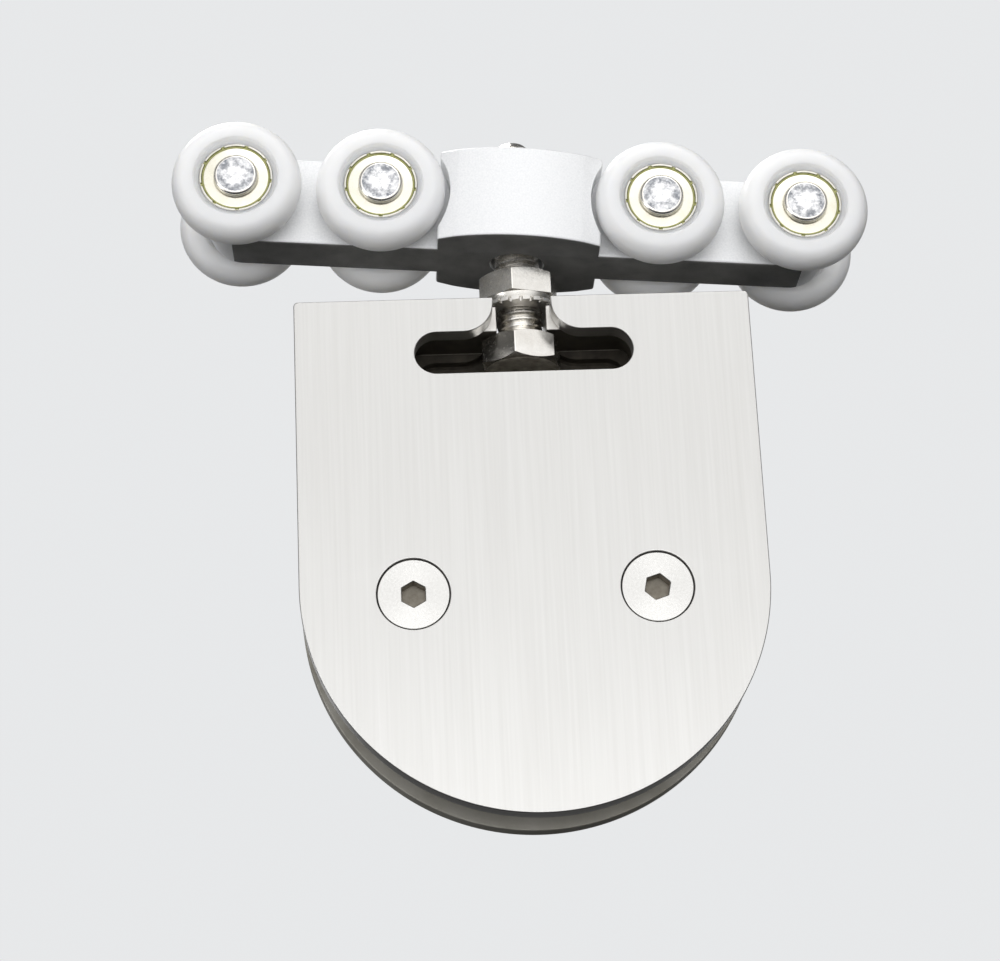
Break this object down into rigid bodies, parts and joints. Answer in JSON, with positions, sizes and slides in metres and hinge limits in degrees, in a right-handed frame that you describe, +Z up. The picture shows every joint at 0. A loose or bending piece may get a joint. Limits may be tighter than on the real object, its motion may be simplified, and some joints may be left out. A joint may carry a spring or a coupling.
{
  "type": "sliding door roller",
  "caption": "Wheeled carriage for an overhead rail, with an adjustable rocking hanger bolt and a D-shaped two-plate clamp that grips the top edge of a glass sliding door.",
  "frame": {"origin": "on the hanger bolt's axis, in the plane of the glass's top edge and in the middle of the glass's thickness", "axes": "+Z up along the bolt; X along the rail, clamp's width; -Y is the front, where the clamp screws' heads are"},
  "size_m": [0.1236, 0.0264, 0.1267],
  "materials": {
    "satin_stainless": "vertical brushed grain, satin",
    "plain_steel": "machined, slightly dull",
    "polished_steel": "bright, lightly worn",
    "silver_casting": "silver-white, fine grain, half matte",
    "white_nylon": "moulded, half matte, slightly translucent",
    "bearing_shield": "pressed, satin, faintly yellow",
    "bearing_steel": "ground",
    "black_rubber": "matte",
    "clear_sleeve": "moulded, half matte"
  },
  "bodies": {
    "carriage": {"carriage_body": "silver_casting", "axle_1": "polished_steel", "axle_2": "polished_steel", "axle_3": "polished_steel", "axle_4": "polished_steel", "inner_race_front_1": "bearing_steel", "inner_race_front_2": "bearing_steel", "inner_race_front_3": "bearing_steel", "inner_race_front_4": "bearing_steel", "inner_race_back_1": "bearing_steel", "inner_race_back_2": "bearing_steel", "inner_race_back_3": "bearing_steel", "inner_race_back_4": "bearing_steel"},
    "wheel_front_1": {"tyre_front_1": "white_nylon", "outer_race_front_1": "bearing_steel", "shield_front_1": "bearing_shield"},
    "wheel_front_2": {"tyre_front_2": "white_nylon", "outer_race_front_2": "bearing_steel", "shield_front_2": "bearing_shield"},
    "wheel_front_3": {"tyre_front_3": "white_nylon", "outer_race_front_3": "bearing_steel", "shield_front_3": "bearing_shield"},
    "wheel_front_4": {"tyre_front_4": "white_nylon", "outer_race_front_4": "bearing_steel", "shield_front_4": "bearing_shield"},
    "wheel_back_1": {"tyre_back_1": "white_nylon", "outer_race_back_1": "bearing_steel", "shield_back_1": "bearing_shield"},
    "wheel_back_2": {"tyre_back_2": "white_nylon", "outer_race_back_2": "bearing_steel", "shield_back_2": "bearing_shield"},
    "wheel_back_3": {"tyre_back_3": "white_nylon", "outer_race_back_3": "bearing_steel", "shield_back_3": "bearing_shield"},
    "wheel_back_4": {"tyre_back_4": "white_nylon", "outer_race_back_4": "bearing_steel", "shield_back_4": "bearing_shield"},
    "cage_front_1": {"ball_cage_front_1": "bearing_steel"},
    "cage_front_2": {"ball_cage_front_2": "bearing_steel"},
    "cage_front_3": {"ball_cage_front_3": "bearing_steel"},
    "cage_front_4": {"ball_cage_front_4": "bearing_steel"},
    "cage_back_1": {"ball_cage_back_1": "bearing_steel"},
    "cage_back_2": {"ball_cage_back_2": "bearing_steel"},
    "cage_back_3": {"ball_cage_back_3": "bearing_steel"},
    "cage_back_4": {"ball_cage_back_4": "bearing_steel"},
    "rocker": {"rocker_washer": "plain_steel"},
    "bush": {"threaded_bush": "plain_steel"},
    "clamp": {"hanger_block": "plain_steel", "back_plate": "satin_stainless", "back_gasket": "black_rubber", "glass_sleeve_left": "clear_sleeve", "glass_sleeve_right": "clear_sleeve"},
    "bolt": {"hanger_bolt": "polished_steel"},
    "washer": {"lock_washer": "plain_steel"},
    "nut": {"lock_nut": "polished_steel"},
    "front_clamp": {"front_plate": "satin_stainless", "front_gasket": "black_rubber"},
    "screw_left": {"clamp_screw_left": "polished_steel"},
    "screw_right": {"clamp_screw_right": "polished_steel"}
  },
  "joints": [
    {"name": "wheel_front_1_roll", "type": "hinge", "parent": "carriage", "child": "wheel_front_1", "pos_m": [-0.04962, -0.00935, 0.04423], "axis": [0, 1, 0], "continuous": true},
    {"name": "wheel_front_2_roll", "type": "hinge", "parent": "carriage", "child": "wheel_front_2", "pos_m": [-0.0241, -0.00935, 0.04222], "axis": [0, 1, 0], "continuous": true},
    {"name": "wheel_front_3_roll", "type": "hinge", "parent": "carriage", "child": "wheel_front_3", "pos_m": [0.02555, -0.00935, 0.03832], "axis": [0, 1, 0], "continuous": true},
    {"name": "wheel_front_4_roll", "type": "hinge", "parent": "carriage", "child": "wheel_front_4", "pos_m": [0.05107, -0.00935, 0.03631], "axis": [0, 1, 0], "continuous": true},
    {"name": "wheel_back_1_roll", "type": "hinge", "parent": "carriage", "child": "wheel_back_1", "pos_m": [-0.04962, 0.00935, 0.04423], "axis": [0, 1, 0], "continuous": true},
    {"name": "wheel_back_2_roll", "type": "hinge", "parent": "carriage", "child": "wheel_back_2", "pos_m": [-0.0241, 0.00935, 0.04222], "axis": [0, 1, 0], "continuous": true},
    {"name": "wheel_back_3_roll", "type": "hinge", "parent": "carriage", "child": "wheel_back_3", "pos_m": [0.02555, 0.00935, 0.03832], "axis": [0, 1, 0], "continuous": true},
    {"name": "wheel_back_4_roll", "type": "hinge", "parent": "carriage", "child": "wheel_back_4", "pos_m": [0.05107, 0.00935, 0.03631], "axis": [0, 1, 0], "continuous": true},
    {"name": "cage_front_1_roll", "type": "hinge", "parent": "carriage", "child": "cage_front_1", "pos_m": [-0.04962, -0.00935, 0.04423], "axis": [0, 1, 0], "continuous": true},
    {"name": "cage_front_2_roll", "type": "hinge", "parent": "carriage", "child": "cage_front_2", "pos_m": [-0.0241, -0.00935, 0.04222], "axis": [0, 1, 0], "continuous": true},
    {"name": "cage_front_3_roll", "type": "hinge", "parent": "carriage", "child": "cage_front_3", "pos_m": [0.02555, -0.00935, 0.03832], "axis": [0, 1, 0], "continuous": true},
    {"name": "cage_front_4_roll", "type": "hinge", "parent": "carriage", "child": "cage_front_4", "pos_m": [0.05107, -0.00935, 0.03631], "axis": [0, 1, 0], "continuous": true},
    {"name": "cage_back_1_roll", "type": "hinge", "parent": "carriage", "child": "cage_back_1", "pos_m": [-0.04962, 0.00935, 0.04423], "axis": [0, 1, 0], "continuous": true},
    {"name": "cage_back_2_roll", "type": "hinge", "parent": "carriage", "child": "cage_back_2", "pos_m": [-0.0241, 0.00935, 0.04222], "axis": [0, 1, 0], "continuous": true},
    {"name": "cage_back_3_roll", "type": "hinge", "parent": "carriage", "child": "cage_back_3", "pos_m": [0.02555, 0.00935, 0.03832], "axis": [0, 1, 0], "continuous": true},
    {"name": "cage_back_4_roll", "type": "hinge", "parent": "carriage", "child": "cage_back_4", "pos_m": [0.05107, 0.00935, 0.03631], "axis": [0, 1, 0], "continuous": true},
    {"name": "rock", "type": "hinge", "parent": "carriage", "child": "rocker", "pos_m": [0, 0, 0.0311], "axis": [0, 1, 0], "range_deg": [0, 9]},
    {"name": "swivel", "type": "hinge", "parent": "rocker", "child": "bush", "pos_m": [0, 0, 0.04], "axis": [0, 0, 1], "continuous": true},
    {"name": "height", "type": "slide", "parent": "bush", "child": "clamp", "axis": [0, 0, 1], "range_m": [-0.008, 0.00075]},
    {"name": "bolt_turn", "type": "hinge", "parent": "clamp", "child": "bolt", "pos_m": [0, 0, 0.0135], "axis": [0, 0, 1], "range_deg": [-2305, 217]},
    {"name": "washer_lift", "type": "slide", "parent": "bolt", "child": "washer", "axis": [0, 0, 1], "range_m": [0, 0.001]},
    {"name": "nut_turn", "type": "hinge", "parent": "washer", "child": "nut", "pos_m": [0, 0, 0.0253], "axis": [0, 0, 1], "range_deg": [-1, 289]},
    {"name": "front_plate_open", "type": "slide", "parent": "clamp", "child": "front_clamp", "axis": [0, -1, 0], "range_m": [0, 0.003]},
    {"name": "screw_left_turn", "type": "hinge", "parent": "front_clamp", "child": "screw_left", "pos_m": [-0.0207, -0.009, -0.0328], "axis": [0, -1, 0], "range_deg": [-1, 1081]},
    {"name": "screw_right_turn", "type": "hinge", "parent": "front_clamp", "child": "screw_right", "pos_m": [0.0207, -0.009, -0.0328], "axis": [0, -1, 0], "range_deg": [-1, 1081]}
  ],
  "couplings": [
    {"joint": "cage_front_1_roll", "follows": "wheel_front_1_roll", "ratio": 0.61309},
    {"joint": "cage_front_2_roll", "follows": "wheel_front_2_roll", "ratio": 0.61309},
    {"joint": "cage_front_3_roll", "follows": "wheel_front_3_roll", "ratio": 0.61309},
    {"joint": "cage_front_4_roll", "follows": "wheel_front_4_roll", "ratio": 0.61309},
    {"joint": "cage_back_1_roll", "follows": "wheel_back_1_roll", "ratio": 0.61309},
    {"joint": "cage_back_2_roll", "follows": "wheel_back_2_roll", "ratio": 0.61309},
    {"joint": "cage_back_3_roll", "follows": "wheel_back_3_roll", "ratio": 0.61309},
    {"joint": "cage_back_4_roll", "follows": "wheel_back_4_roll", "ratio": 0.61309},
    {"joint": "bolt_turn", "follows": "height", "rad_per_m": 5026.5},
    {"joint": "nut_turn", "follows": "washer_lift", "rad_per_m": 5026.5},
    {"joint": "screw_left_turn", "follows": "front_plate_open", "rad_per_m": 6283.2},
    {"joint": "screw_right_turn", "follows": "front_plate_open", "rad_per_m": 6283.2}
  ]
}
